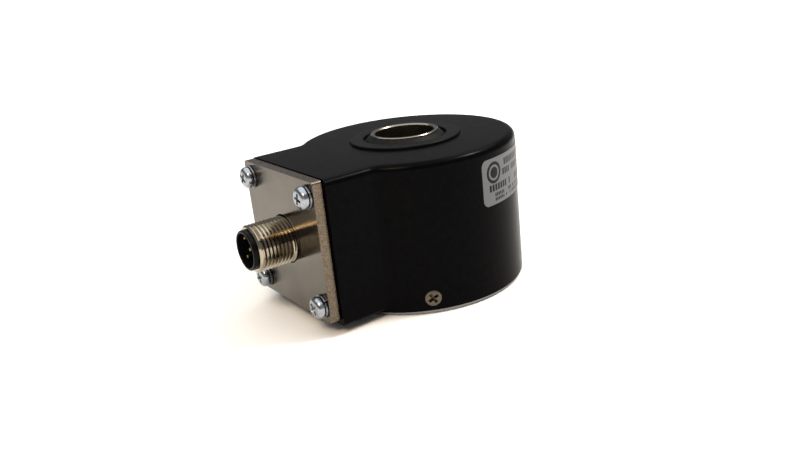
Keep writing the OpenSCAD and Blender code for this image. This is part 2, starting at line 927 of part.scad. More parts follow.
module connector_plate() {
    color("#9a958a")
        difference() {
            translate([plate_x, 0, 0]) plate_outline(plate_t);
            translate([0, 0, connector_z]) along_x(plate_x - cut)
                cylinder(r = plate_hole_r, h = plate_t + 2 * cut);
            at_plate_screws() along_x(plate_x - cut)
                cylinder(r = screw_r + hole_gap, h = plate_t + 2 * cut);
        }
}

module plate_gasket() {
    inset = 0.6;
    color("#141414")
        difference() {
            translate([plate_in_x, inset - plate_w / 2, box_zc - plate_h / 2 + inset])
                cube([gasket_t, plate_w - 2 * inset, plate_h - 2 * inset]);
            translate([0, 0, connector_z]) along_x(plate_in_x - cut)
                cylinder(r = flange_af * 0.65, h = 4 * cut);
            at_plate_screws() along_x(plate_in_x - cut) cylinder(r = screw_r + hole_gap, h = 4 * cut);
        }
}

module plate_screws() {
    head_x = plate_x - washer_t;
    color("#b7bcc4")
        at_plate_screws()
            difference() {
                union() {
                    along_x(head_x - screw_head_h) {
                        translate([0, 0, screw_crown_h])
                            cylinder(r = screw_head_r, h = screw_head_h - screw_crown_h);
                        cylinder(r1 = screw_crown_r, r2 = screw_head_r, h = screw_crown_h);
                    }
                    along_x(head_x - 0.1) cylinder(r = screw_r, h = screw_len + washer_t + plate_t - 4);
                }
                for (t = [0, 90])
                    translate([head_x - screw_head_h, 0, 0]) rotate([t, 0, 0])
                        cube(screw_slot, center = true);
            }
}

module lock_washers() {
    color("#a6abb2")
        at_plate_screws()
            difference() {
                along_x(plate_x - washer_t) cylinder(r = washer_r, h = washer_t);
                along_x(plate_x - washer_t - cut)
                    cylinder(r = screw_r + washer_gap, h = washer_t + 2 * cut);
                rotate([washer_turn, 0, 0]) translate([plate_x - 2, 0.5, 0]) rotate([0, 12, 0])
                    cube([4, 4, washer_split]);
            }
}

module connector_shell() {
    crest = thread_pitch / 8;
    turns = floor((thread_len - shell_chamfer) / thread_pitch);
    flank = thread_pitch / 2 - crest / 2;
    color("#b79f6e")
        translate([0, 0, connector_z])
            difference() {
                union() {
                    along_x(shell_x)
                        cylinder(r1 = thread_r - shell_chamfer, r2 = thread_r, h = shell_chamfer);
                    along_x(shell_x + shell_chamfer) cylinder(r = thread_r, h = thread_len - shell_chamfer);
                    along_x(plate_x - 0.1) cylinder(r = neck_r, h = plate_t + gasket_t);
                    along_x(plate_in_x) cylinder(d = flange_af / cos(30), h = flange_t, $fn = 6);
                    along_x(plate_in_x + flange_t - 0.1) cylinder(r = shell_rear_r, h = shell_rear + 0.1);
                }
                along_x(shell_x - cut) cylinder(r = shell_bore_r, h = shell_end_x - shell_x + 2 * cut);
                along_x(shell_x)
                    rotate_extrude()
                        for (i = [1 : turns])
                            translate([thread_r, i * thread_pitch - 0.1])
                                polygon([[0.1, -flank * 1.1], [0.1, flank * 1.1], [-thread_depth,
                                    crest / 2],
                                    [-thread_depth, -crest / 2]]);
                along_x(plate_in_x - skin)
                    ring(shell_seal_r - shell_seal_d / 2 - skin,
                        shell_seal_r + shell_seal_d / 2 + 5 * skin, 0, shell_groove);
            }
}

module shell_seal() {
    color("#1b1b1b")
        translate([0, 0, connector_z])
            along_x(plate_in_x + shell_groove / 2 + skin)
                rotate_extrude() translate([shell_seal_r, 0]) circle(r = shell_seal_d * 0.38, $fn = 32);
}

module connector_insert() {
    floor_x = insert_x + socket_depth;
    color("#151516")
        translate([0, 0, connector_z])
            difference() {
                union() {
                    along_x(shell_x - skin) cylinder(r = insert_r, h = insert_end_x - shell_x);
                    along_x(insert_x) cylinder(r1 = lip_r - chamfer, r2 = lip_r, h = chamfer);
                    along_x(insert_x + chamfer) cylinder(r = lip_r, h = insert_lip - chamfer - skin);
                }
                difference() {
                    along_x(insert_x - cut) cylinder(r = socket_r, h = socket_depth + cut);
                    translate([insert_x + 0.8, -key_w / 2, socket_r - key_w / 2])
                        cube([socket_depth, key_w, 2]);
                }
                for (p = pin_places)
                    translate([0, p[0], p[1]]) along_x(floor_x - cut) cylinder(r = pin_r, h = 30);
            }
}

module contact_pins() {
    color("#d4af5a")
        translate([0, 0, connector_z])
            for (p = pin_places)
                translate([0, p[0], p[1]]) {
                    along_x(pin_tip_x) cylinder(r1 = pin_r / 2, r2 = pin_r, h = pin_point);
                    along_x(pin_tip_x + pin_point)
                        cylinder(r = pin_r, h = pin_end_x - pin_tip_x - pin_point);
                }
}

cover();
base();
base_seal();
cover_screws();
access_plug();
top_cap();
shaft_seal();
lower_outer_race();
upper_outer_race();
bearing_spacer();
preload_spring();
bearing_clip();
board_pillars();
circuit_board();
board_screws();
board_parts();
sensor_chip();
wire_header();
lamp_bracket();
lamp();
lamp_screw();
connector_plate();
plate_gasket();
plate_screws();
lock_washers();
connector_shell();
shell_seal();
connector_insert();
contact_pins();
signal_wires();
label();
hollow_shaft();
lower_inner_race();
upper_inner_race();
shaft_clip();
disc_hub();
hub_set_screws();
code_disc();
disc_ring();
dust_ring();
clamp_collar();
clamp_screw();
lower_balls();
lower_cage();
upper_balls();
upper_cage();
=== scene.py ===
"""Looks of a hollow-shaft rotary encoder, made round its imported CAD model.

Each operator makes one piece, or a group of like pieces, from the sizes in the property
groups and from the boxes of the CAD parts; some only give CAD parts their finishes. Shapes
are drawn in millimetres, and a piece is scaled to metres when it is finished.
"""

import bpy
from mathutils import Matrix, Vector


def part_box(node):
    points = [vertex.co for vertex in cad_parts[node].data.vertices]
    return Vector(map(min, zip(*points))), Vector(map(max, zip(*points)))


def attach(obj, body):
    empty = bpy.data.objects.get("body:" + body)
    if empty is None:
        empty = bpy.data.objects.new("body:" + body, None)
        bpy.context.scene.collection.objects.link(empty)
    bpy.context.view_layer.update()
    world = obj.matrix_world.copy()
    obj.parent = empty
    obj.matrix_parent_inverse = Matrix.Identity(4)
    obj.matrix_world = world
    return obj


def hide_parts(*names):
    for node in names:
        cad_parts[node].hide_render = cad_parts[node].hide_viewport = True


bl_info = {
    "name": "Rotary encoder looks",
    "version": (1, 0, 0),
    "blender": (4, 5, 0),
    "location": "3D View > Sidebar > Encoder",
    "description": "Detailed pieces and finishes for a hollow-shaft rotary encoder",
    "category": "Object",
}

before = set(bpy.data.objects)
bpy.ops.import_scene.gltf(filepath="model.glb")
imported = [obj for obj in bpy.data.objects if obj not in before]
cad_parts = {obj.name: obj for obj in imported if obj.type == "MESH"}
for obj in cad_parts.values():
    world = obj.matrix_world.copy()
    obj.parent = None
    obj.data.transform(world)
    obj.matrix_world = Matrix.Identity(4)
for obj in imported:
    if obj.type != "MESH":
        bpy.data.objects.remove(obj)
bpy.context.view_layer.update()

import math
from collections import namedtuple

import bmesh
import bpy
from bpy.props import FloatProperty, FloatVectorProperty, PointerProperty
from mathutils import Matrix, Vector

MM = 0.001
OUTWARD = Matrix(((0, 0, -1), (-1, 0, 0), (0, 1, 0))).to_4x4()
RADIAL = Matrix(((0, 0, 1), (1, 0, 0), (0, 1, 0))).to_4x4()

# A helical thread in an outline: it climbs from low to high, in millimetres.
Thread = namedtuple("Thread", "low high radius pitch depth")
# Where a thread's flank meets its crest and root, as (share of the pitch, share of the depth).
THREAD_FORM = ((0.0, 0.0), (0.125, 0.0), (0.4375, 1.0), (0.6875, 1.0))

# Radii in millimetres, and a pan head's radius as a share of its screw's.
SHELL_RADIUS = 6.0
SCREW_RADIUS = 1.5
PIN_RADIUS = 0.5
PAN_HEAD = 1.86

# Turns round the shaft's axis: of the cover's screws in degrees, and of the label's start and length.
COVER_SCREW_TURNS = (-118.4, 1.6, 121.6)
LABEL_START = math.radians(-86.9)
LABEL_LENGTH = math.radians(64)

# Places of the inner and outer wires from the header's middle. Each run says how a wire goes there from a
# pin above (1), on (0) or below (-1) the connector's axis: how far it goes on straight, how far it swings
# out behind the header, how far below the header it turns up, and its place in the header.
INNER_WIRE, OUTER_WIRE = 2.6, 4.8
WireRun = namedtuple("WireRun", "reach swing drop place")
WIRE_RUNS = {
    1: WireRun(2, 0, 1.5, INNER_WIRE),
    0: WireRun(3, 0, 3.5, 0),
    -1: WireRun(5.6, 4.5, 3.5, OUTER_WIRE),
}


def linear(code):
    """Linear colour of an sRGB hex code. A colour from the panel is linear already."""
    if not isinstance(code, str):
        return tuple(code)
    channels = [int(code[i:i + 2], 16) / 255 for i in (1, 3, 5)]
    return [c / 12.92 if c <= 0.04045 else ((c + 0.055) / 1.055) ** 2.4 for c in channels] + [1.0]


# ---------------------------------------------------------------- sizes a user would change


class ConnectorSizes(bpy.types.PropertyGroup):
    thread_pitch: FloatProperty(name="Thread pitch", description="Pitch of the connector's thread in mm",
                                default=1.0, min=0.5, max=2.0)
    thread_depth: FloatProperty(name="Thread depth", description="Depth of the connector's thread in mm",
                                default=0.55, min=0.2, max=0.7)
    shell_bore: FloatProperty(name="Shell bore", description="Inner radius of the threaded shell in mm",
                              default=4.9, min=4.0, max=5.2)
    plate_corner: FloatProperty(name="Plate corner", description="Radius of the plate's corners in mm",
                                default=0.7, min=0.1, max=2.0)
    plate_edge: FloatProperty(name="Plate edge", description="Rounding of the plate's edges in mm",
                              default=0.22, min=0.05, max=0.6)


class FastenerSizes(bpy.types.PropertyGroup):
    head_round: FloatProperty(name="Head rounding", description="Rounding of a plate screw's head in mm",
                              default=1.25, min=0.2, max=1.6)
    recess_reach: FloatProperty(name="Recess reach", description="Half the span of a cross recess in mm",
                                default=1.5, min=0.5, max=2.0)
    recess_slot: FloatProperty(name="Recess slot", description="Half the width of a cross recess in mm",
                               default=0.36, min=0.1, max=0.6)
    washer_split: FloatProperty(name="Washer split", description="Angle of the gap in a spring washer",
                                default=math.radians(9), min=0.02, max=0.6, subtype="ANGLE", unit="ROTATION")


class LabelSizes(bpy.types.PropertyGroup):
    corner: FloatProperty(name="Corner", description="Radius of the label's corners in mm",
                          default=1.7, min=0.2, max=3.0)
    emblem: FloatProperty(name="Emblem", description="Radius of the plain round mark in mm",
                          default=2.75, min=0.5, max=4.0)


class FinishColours(bpy.types.PropertyGroup):
    coat: FloatVectorProperty(name="Coat", description="Colour of the cover's powder coat",
                              default=linear("#030304"), size=4, min=0, max=1, subtype="COLOR")
    ring: FloatVectorProperty(name="Ring", description="Colour of the moulded top ring",
                              default=linear("#080809"), size=4, min=0, max=1, subtype="COLOR")
    film: FloatVectorProperty(name="Label film", description="Colour of the label's film",
                              default=linear("#626467"), size=4, min=0, max=1, subtype="COLOR")
    ink: FloatVectorProperty(name="Label print", description="Colour of the label's print",
                             default=linear("#08080a"), size=4, min=0, max=1, subtype="COLOR")


class StageSettings(bpy.types.PropertyGroup):
    camera_place: FloatVectorProperty(name="Camera place", description="Where the camera stands", size=3,
                                      default=(-0.11995, -0.17558, 0.08639), subtype="XYZ", unit="LENGTH")
    azimuth: FloatProperty(name="Azimuth", description="Direction of the view round the object",
                           default=math.radians(-33.308), subtype="ANGLE", unit="ROTATION")
    elevation: FloatProperty(name="Elevation", description="Height of the view above the horizon",
                             default=math.radians(18.721), subtype="ANGLE", unit="ROTATION")
    roll: FloatProperty(name="Roll", description="Tilt of the camera about its own axis",
                        default=math.radians(-6.198), subtype="ANGLE", unit="ROTATION")
    lens: FloatProperty(name="Lens", description="Focal length in mm on a 36 mm sensor",
                        default=36.516, min=10, max=200)


# ---------------------------------------------------------------- shapes, in millimetres


def cad_box(node):
    """Lowest and highest corner of a CAD part in millimetres."""
    low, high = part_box(node)
    return low / MM, high / MM


def axis_height():
    """Height of the connector's axis."""
    low, high = cad_box("connector_insert")
    return (low.z + high.z) / 2


def facing_out(x, across=0, up=0):
    """A place beside the connector's axis, with its Z axis out of the plate."""
    return Matrix.Translation((x, across, axis_height() + up)) @ OUTWARD


def screw_centres():
    """Places of the plate's screws, across and above the connector's axis."""
    low, high = cad_box("plate_screws")
    head = PAN_HEAD * SCREW_RADIUS
    return [(y, z - axis_height()) for y in (low.y + head, high.y - head)
            for z in (low.z + head, high.z - head)]


def pin_spots():
    """Places of the middle pin and the four round it, across and above the connector's axis."""
    low, high = cad_box("contact_pins")
    ring = (high.y - low.y) / 2 - PIN_RADIUS
    return [(0, 0)] + [(x * ring, y * ring) for x in (-1, 1) for y in (-1, 1)]


def spin(angle):
    """A turn about the Z axis, in radians."""
    return Matrix.Rotation(angle, 4, "Z")


def rounded(corners, steps=6):
    """Points of an outline whose corners (x, y, radius) are rounded."""
    points = []
    for i, corner in enumerate(corners):
        here = Vector(corner[:2])
        radius = corner[2] if len(corner) > 2 else 0
        if not radius:
            points.append(tuple(here))
            continue
        back = (Vector(corners[i - 1][:2]) - here).normalized()
        ahead = (Vector(corners[(i + 1) % len(corners)][:2]) - here).normalized()
        half = back.angle(ahead) / 2
        centre = here + (back + ahead).normalized() * radius / math.sin(half)
        start = here + back * radius / math.tan(half) - centre
        end = here + ahead * radius / math.tan(half) - centre
        first = math.atan2(start.y, start.x)
        sweep = (math.atan2(end.y, end.x) - first + math.pi) % math.tau - math.pi
        for k in range(steps + 1):
            angle = first + sweep * k / steps
            points.append((centre.x + radius * math.cos(angle), centre.y + radius * math.sin(angle)))
    return points


def circle(radius, centre=(0, 0), steps=48):
    """Points of a circle."""
    return [(centre[0] + radius * math.cos(math.tau * k / steps),
             centre[1] + radius * math.sin(math.tau * k / steps)) for k in range(steps)]


def thread_rows(thread, turn):
    """Points of a thread's profile at a share of a full turn, held between its two ends."""
    turns = math.ceil((thread.high - thread.low) / thread.pitch)
    rows = []
    for t in range(-1, turns + 1):
        for along, depth in THREAD_FORM:
            z = thread.low + thread.pitch * (t + along + turn)
            z = min(max(z, thread.low), thread.high)
            fade = min(1, 2 * min(z - thread.low, thread.high - z) / thread.pitch)
            rows.append((thread.radius - thread.depth * depth * fade, z))
    return rows


def column(outline, turn):
    """An outline with its threads worked out at a share of a full turn."""
    points = []
    for item in outline:
        points += thread_rows(item, turn) if isinstance(item, Thread) else [item]
    return points


def turned(bm, outline, place=Matrix(), steps=96):
    """Turns a closed outline of (radius, height) points round its axis."""
    rings = []
    for k in range(steps + 1):
        turn = place @ spin(math.tau * k / steps)
        rings.append([bm.verts.new(turn @ Vector((r, 0, z))) for r, z in column(outline, k / steps)])
    heights = column(outline, 0)
    for here, beyond in zip(rings, rings[1:]):
        for i in range(len(here)):
            if heights[i - 1][0] or heights[i][0]:
                bm.faces.new((here[i - 1], here[i], beyond[i], beyond[i - 1]))


def prism(bm, outline, holes, low, high, place=Matrix()):
    """A flat piece with holes, between two heights."""
    flat = bmesh.new()
    sizes = []
    for loop in (outline, *holes):
        verts = [flat.verts.new((x, y, 0)) for x, y in loop]
        sizes.append(len(verts))
        for i, vert in enumerate(verts):
            flat.edges.new((verts[i - 1], vert))
    bmesh.ops.triangle_fill(flat, use_beauty=True, use_dissolve=False, edges=flat.edges)
    flat.verts.index_update()
    layers = [[bm.verts.new(place @ Vector((v.co.x, v.co.y, z))) for v in flat.verts] for z in (low, high)]
    for face in flat.faces:
        corners = [v.index for v in face.verts]
        bm.faces.new([layers[0][i] for i in reversed(corners)])
        bm.faces.new([layers[1][i] for i in corners])
    first = 0
    for size in sizes:
        for i in range(size):
            a, b = first + i - 1 if i else first + size - 1, first + i
            bm.faces.new((layers[0][a], layers[0][b], layers[1][b], layers[1][a]))
        first += size
    flat.free()


def swept(bm, sections, closed=False):
    """Joins like sections, each a list of points, into a solid with flat ends."""
    rings = [[bm.verts.new(p) for p in section] for section in sections]
    pairs = list(zip(rings, rings[1:])) + ([(rings[-1], rings[0])] if closed else [])
    for here, beyond in pairs:
        for i in range(len(here)):
            bm.faces.new((here[i - 1], here[i], beyond[i], beyond[i - 1]))
    if not closed:
        bm.faces.new(reversed(rings[0]))
        bm.faces.new(rings[-1])


def cross_tip(bm, place, reach, slot, depth):
    """The tapered cross of a driver's tip. It cuts the recess in a screw's head."""
    quarter = [(reach, -slot), (reach, slot), (slot, slot)]
    outline = [Matrix.Rotation(q * math.pi / 2, 2) @ Vector(p) for q in range(4) for p in quarter]
    # Each level is a height and the cross's size there: it stands above the head and ends in a point.
    levels = ((0.4, 1.1), (0.0, 1.0), (-0.7 * depth, 0.75), (-depth, 0.15))
    swept(bm, [[place @ Vector((*(p * scale), z)) for p in outline] for z, scale in levels])


def tube(bm, path, radius, sides=12):
    """A round tube along a smooth path of points."""
    sections = []
    side = Vector((0, 1, 0))
    for i, point in enumerate(path):
        ahead = (path[min(i + 1, len(path) - 1)] - path[max(i - 1, 0)]).normalized()
        side = (side - ahead * side.dot(ahead)).normalized()
        other = ahead.cross(side)
        sections.append([point + radius * (math.cos(math.tau * k / sides) * side
                                           + math.sin(math.tau * k / sides) * other) for k in range(sides)])
    swept(bm, sections)


def block(bm, size, centre, place=Matrix(), corner=0.0):
    """A block with rounded upright corners."""
    x, y, z = (s / 2 for s in size)
    outline = rounded([(-x, -y, corner), (x, -y, corner), (x, y, corner), (-x, y, corner)], 3)
    middle = place @ Matrix.Translation((centre[0], centre[1], 0))
    prism(bm, outline, [], centre[2] - z, centre[2] + z, middle)


# ---------------------------------------------------------------- pieces from shapes


def solid(name, build):
    """A new object in millimetres, from a function that fills a bmesh."""
    bm = bmesh.new()
    build(bm)
    bmesh.ops.remove_doubles(bm, verts=bm.verts, dist=1e-4)
    bmesh.ops.recalc_face_normals(bm, faces=bm.faces)
    mesh = bpy.data.meshes.new(name)
    bm.to_mesh(mesh)
    bm.free()
    piece = bpy.data.objects.new(name, mesh)
    bpy.context.scene.collection.objects.link(piece)
    return piece


def settle(piece):
    """Keeps the shape that the modifiers give, and drops them."""
    bpy.context.view_layer.update()
    shape = piece.evaluated_get(bpy.context.evaluated_depsgraph_get())
    mesh = bpy.data.meshes.new_from_object(shape)
    piece.modifiers.clear()
    old, piece.data = piece.data, mesh
    bpy.data.meshes.remove(old)


def carve(piece, build, operation="DIFFERENCE"):
    """Cuts a shape from the piece, or joins it on."""
    tool = solid("tool", build)
    change = piece.modifiers.new("carve", "BOOLEAN")
    change.operation = operation
    change.solver = "EXACT"
    change.object = tool
    settle(piece)
    bpy.data.objects.remove(tool)
    if not piece.data.polygons:
        raise RuntimeError(f"{piece.name} was lost in a cut")


def round_edges(piece, width, segments=3, angle=40):
    """Rounds the edges that are sharper than an angle in degrees."""
    change = piece.modifiers.new("edges", "BEVEL")
    change.width = width
    change.segments = segments
    change.limit_method = "ANGLE"
    change.angle_limit = math.radians(angle)
    settle(piece)


def finish(piece, material, nodes, sharp=40):
    """Scales a piece of the housing to metres, gives it its finish, and lets it stand for its CAD nodes."""
    piece.data.transform(Matrix.Scale(MM, 4))
    piece.data.materials.clear()
    piece.data.materials.append(material)
    piece.data.shade_smooth()
    piece.data.set_sharp_from_angle(angle=math.radians(sharp))
    flats = piece.modifiers.new("flats", "WEIGHTED_NORMAL")
    flats.keep_sharp = True
    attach(piece, "housing")
    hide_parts(*nodes)


def aimed(place, direction):
    """Where a light stands when it shines in a direction."""
    return Matrix.Translation(place) @ direction.to_track_quat("-Z", "Y").to_matrix().to_4x4()


def coat(material, *nodes):
    """Gives CAD nodes a material."""
    for node in nodes:
        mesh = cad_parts[node].data
        mesh.materials.clear()
        mesh.materials.append(material)


# ---------------------------------------------------------------- materials

# Nothing dark stands round the encoder to be mirrored in it. So the base colours of the plate, the shaft, the
# aluminium, the side screws, the pins and the label, and the specular levels of the coat and the plastics,
# are set below those of the bare materials, until they look as bright as the real ones.


def add(material, kind, values=(), links=()):
    """Adds a shader node, sets its values and links its inputs. A node as a link means its first output."""
    node = material.node_tree.nodes.new("ShaderNode" + kind)
    for key, value in dict(values).items():
        if isinstance(key, str) and hasattr(node, key):
            setattr(node, key, value)
        else:
            node.inputs[key].default_value = value
    for key, source in dict(links).items():
        link(material, source, node.inputs[key])
    return node


def link(material, source, target):
    """Links an output, or a node's first output, to a shader's socket by its name, or to any input."""
    source = source.outputs[0] if isinstance(source, bpy.types.Node) else source
    if isinstance(target, str):
        target = material.node_tree.nodes["Principled BSDF"].inputs[target]
    material.node_tree.links.new(source, target)


def surface(name, colour, roughness, metallic=0.0, **sockets):
    """A material with its uniform values on the shader. Socket names have _ for a space."""
    material = bpy.data.materials.new(name)
    material.use_nodes = True
    shader = material.node_tree.nodes["Principled BSDF"]
    shader.inputs["Base Color"].default_value = linear(colour)
    shader.inputs["Roughness"].default_value = roughness
    shader.inputs["Metallic"].default_value = metallic
    for key, value in sockets.items():
        shader.inputs[key.replace("_", " ")].default_value = value
    return material


def speckle(material, size, stretch=(1, 1, 1), detail=3.0):
    """Noise with features of a size in millimetres, drawn out along the axes by stretch."""
    where = add(material, "TexCoord")
    scale = [1 / (size * MM * s) for s in stretch]
    place = add(material, "Mapping", {"Scale": scale}, {"Vector": where.outputs["Object"]})
    return add(material, "TexNoise", {"Scale": 1.0, "Detail": detail}, {"Vector": place})


def roughen(material, factor, low, high):
    """The roughness runs from low to high with a factor."""
    span = add(material, "MapRange", {"From Min": 0.3, "From Max": 0.7, "To Min": low, "To Max": high},
               {"Value": factor})
    link(material, span, "Roughness")


def tint(material, factor, first, second, start=0.3, end=0.7):
    """The base colour runs from the first colour to the second with a factor."""
    span = add(material, "MapRange", {"From Min": start, "From Max": end}, {"Value": factor})
    mixed = add(material, "Mix", {"data_type": "RGBA", 6: linear(first), 7: linear(second)}, {0: span})
    link(material, mixed.outputs[2], "Base Color")


def dent(material, height, depth, strength=1.0):
    """Bump of a depth in millimetres."""
    bump = add(material, "Bump", {"Distance": depth * MM, "Strength": strength}, {"Height": height})
    link(material, bump, "Normal")


def powder_coat(colour):
    """Black powder coat on a die-cast shell: satin, with a faint orange peel that softens reflections."""
    material = surface("black_powder_coat", colour, 0.24, Specular_IOR_Level=0.025)
    # Orange peel is about 0.4 mm from crest to crest, and the dust in it is finer.
    dent(material, speckle(material, 0.4, detail=4.0), 0.006, 0.4)
    roughen(material, speckle(material, 3.0), 0.2, 0.27)
    tint(material, speckle(material, 1.6, detail=6.0), colour, "#060607")
    return material


def turned_aluminium(name="turned_aluminium", colour="#77797c", roughness=0.26):
    """Aluminium faced on a lathe: fine rings round the axis draw the highlight out across them."""
    material = surface(name, colour, roughness, 1.0)
    where = add(material, "TexCoord")
    # The tool's feed marks are 0.12 mm apart. They are drawn 2.2 mm apart to show. A wave texture of scale 1
    # has 20 radians in a metre.
    scale = math.tau / 20 / (2.2 * MM)
    rings = add(material, "TexWave", {"wave_type": "RINGS", "rings_direction": "Z", "Scale": scale,
                                      "Distortion": 0.6, "Detail": 2.0}, {"Vector": where.outputs["Object"]})
    dent(material, rings.outputs["Fac"], 0.004, 0.5)
    roughen(material, speckle(material, 2.5), roughness - 0.06, roughness + 0.08)
    return material


def ground_steel():
    """Stainless shaft tube, bored and ground: bright, with fine marks round the bore."""
    material = surface("ground_stainless_steel", "#857f74", 0.22, 1.0)
    lines = speckle(material, 1.0, (6, 6, 0.12), 4.0)
    dent(material, lines, 0.001, 0.2)
    roughen(material, lines, 0.2, 0.28)
    return material


def nickel_sheet():
    """Sheet steel plated with satin nickel: a warm, slightly blurred mirror with faint clouds."""
    material = surface("satin_nickel_sheet", "#5d5850", 0.17, 1.0, Anisotropic=0.92)
    # The sheet was rolled upright, so it blurs what it mirrors from side to side.
    grain = add(material, "Tangent", {"direction_type": "RADIAL", "axis": "Z"})
    link(material, grain, "Tangent")
    clouds = speckle(material, 7.0, detail=5.0)
    roughen(material, clouds, 0.14, 0.2)
    tint(material, clouds, "#605b53", "#59544b")
    dent(material, speckle(material, 0.9, detail=3.0), 0.001, 0.2)
    return material


def sheared_edge():
    """The plate's cut edge under its nickel: torn and grainy, so it looks browner and rougher."""
    material = surface("sheared_nickel_edge", "#6a6156", 0.3, 1.0)
    grit = speckle(material, 0.3, detail=5.0)
    tint(material, grit, "#554c41", "#776c5e", 0.4, 0.65)
    roughen(material, grit, 0.22, 0.4)
    dent(material, grit, 0.02, 0.5)
    return material


def nickel_brass():
    """Brass bar, screw-cut and thinly nickel-plated: polished, with the brass warming its reflections."""
    material = surface("nickel_plated_brass", "#a29b8e", 0.12, 1.0)
    clouds = speckle(material, 2.2)
    tint(material, clouds, "#a6a094", "#9d917a")
    roughen(material, clouds, 0.08, 0.16)
    return material


def gold_plate():
    """Hard gold over brass on turned pins: smooth and deep yellow."""
    material = surface("gold_plated_brass", "#7d6a45", 0.3, 1.0)
    roughen(material, speckle(material, 0.5), 0.2, 0.32)
    return material


def zinc_steel():
    """Steel screws with blue-passivated zinc: bright, with a cool cast and a faint mottle."""
    material = surface("blue_zinc_steel", "#979ca3", 0.18, 1.0)
    mottle = speckle(material, 0.8, detail=4.0)
    tint(material, mottle, "#8c9299", "#a3a8ae")
    roughen(material, mottle, 0.15, 0.3)
    return material


def washer_steel():
    """Spring steel washers with the same zinc, duller where the coil was sawn."""
    material = surface("zinc_spring_steel", "#868d96", 0.3, 1.0)
    mottle = speckle(material, 0.6, detail=4.0)
    tint(material, mottle, "#6f7479", "#8e9297")
    roughen(material, mottle, 0.22, 0.4)
    return material


def nickel_screw():
    """Countersunk screws with barrel nickel: a soft warm grey."""
    material = surface("barrel_nickel_steel", "#5c564b", 0.36, 1.0)
    roughen(material, speckle(material, 0.5), 0.3, 0.45)
    return material


def moulded_plastic(name="black_glass_filled_nylon", colour="#080809", roughness=0.4):
    """Glass-filled nylon, injection moulded: black with a fine spark-eroded grain."""
    material = surface(name, colour, roughness, IOR=1.53, Specular_IOR_Level=0.06)
    # The grain of the mould is 0.1 mm. It is drawn at 0.25 mm to show.
    grain = speckle(material, 0.25, detail=2.0)
    dent(material, grain, 0.008, 0.5)
    roughen(material, grain, roughness - 0.05, roughness + 0.08)
    return material


def rubber():
    """Nitrile rubber, moulded: black, matt and faintly dusty."""
    material = surface("nitrile_rubber", "#090909", 0.6, IOR=1.52, Specular_IOR_Level=0.12)
    dust = speckle(material, 0.7, detail=5.0)
    tint(material, dust, "#080808", "#121211", 0.45, 0.8)
    dent(material, dust, 0.01, 0.4)
    return material


def bearing_steel():
    """Chrome bearing steel, ground and honed: near a mirror."""
    material = surface("ground_bearing_steel", "#b4b6b9", 0.1, 1.0)
    roughen(material, speckle(material, 1.0, (4, 4, 0.3)), 0.07, 0.17)
    return material


def pressed_brass(name="pressed_brass", colour="#b98a45"):
    """Brass strip or bar, pressed or turned: yellow, with a satin surface."""
    material = surface(name, colour, 0.3, 1.0)
    grain = speckle(material, 0.6, detail=4.0)
    roughen(material, grain, 0.24, 0.4)
    return material


def spring_steel():
    """Phosphated spring steel: dark grey and matt."""
    material = surface("phosphated_spring_steel", "#5c5d60", 0.45, 1.0)
    grain = speckle(material, 0.4, detail=5.0)
    tint(material, grain, "#4c4d50", "#6c6d70")
    roughen(material, grain, 0.38, 0.55)
    return material


def black_oxide():
    """Steel with black oxide and oil: almost black, with a soft metal sheen."""
    material = surface("black_oxide_steel", "#2a2b2f", 0.34, 1.0)
    roughen(material, speckle(material, 0.8), 0.28, 0.42)
    return material


def solder_mask():
    """Green solder mask over copper tracks: the tracks show through as lighter, raised lines."""
    material = surface("green_solder_mask", "#0f4a28", 0.3, IOR=1.52)
    where = add(material, "TexCoord")
    # Tracks run in channels 1.2 mm wide, with a copper line in each.
    place = add(material, "Mapping", {"Scale": (1 / (1.2 * MM),) * 3}, {"Vector": where.outputs["Object"]})
    tracks = add(material, "TexVoronoi",
                 {"distance": "CHEBYCHEV", "feature": "F1", "Scale": 1.0}, {"Vector": place})
    line = add(material, "Math", {"operation": "PINGPONG", 1: 0.25}, {0: tracks.outputs["Distance"]})
    tint(material, line, "#0c3f22", "#1c6a3c", 0.15, 0.19)
    dent(material, line, 0.03, 0.5)
    return material


def chip_epoxy():
    """Chips moulded in filled epoxy: charcoal and matt."""
    material = surface("moulded_chip_epoxy", "#232427", 0.55, IOR=1.55)
    dent(material, speckle(material, 0.12, detail=2.0), 0.006, 0.5)
    return material


def header_nylon():
    """Natural nylon, moulded: milky, with light going a little way in."""
    material = surface("natural_nylon", "#e9e4d6", 0.45, IOR=1.53, Subsurface_Weight=0.15,
                       Subsurface_Scale=0.001)
    dent(material, speckle(material, 0.3), 0.006, 0.4)
    return material


def clear_epoxy():
    """Water-clear epoxy, cast as a lens over the lamp."""
    material = surface("clear_cast_epoxy", "#f3f6f7", 0.05, IOR=1.5, Transmission_Weight=0.95)
    roughen(material, speckle(material, 0.5), 0.03, 0.1)
    return material


def round_axis(material):
    """The x, y and z of a point, and its turn round the shaft's axis in radians."""
    where = add(material, "TexCoord")
    parts = add(material, "SeparateXYZ", links={0: where.outputs["Object"]})
    angle = add(material, "Math", {"operation": "ARCTAN2"}, {0: parts.outputs[1], 1: parts})
    return *parts.outputs, angle


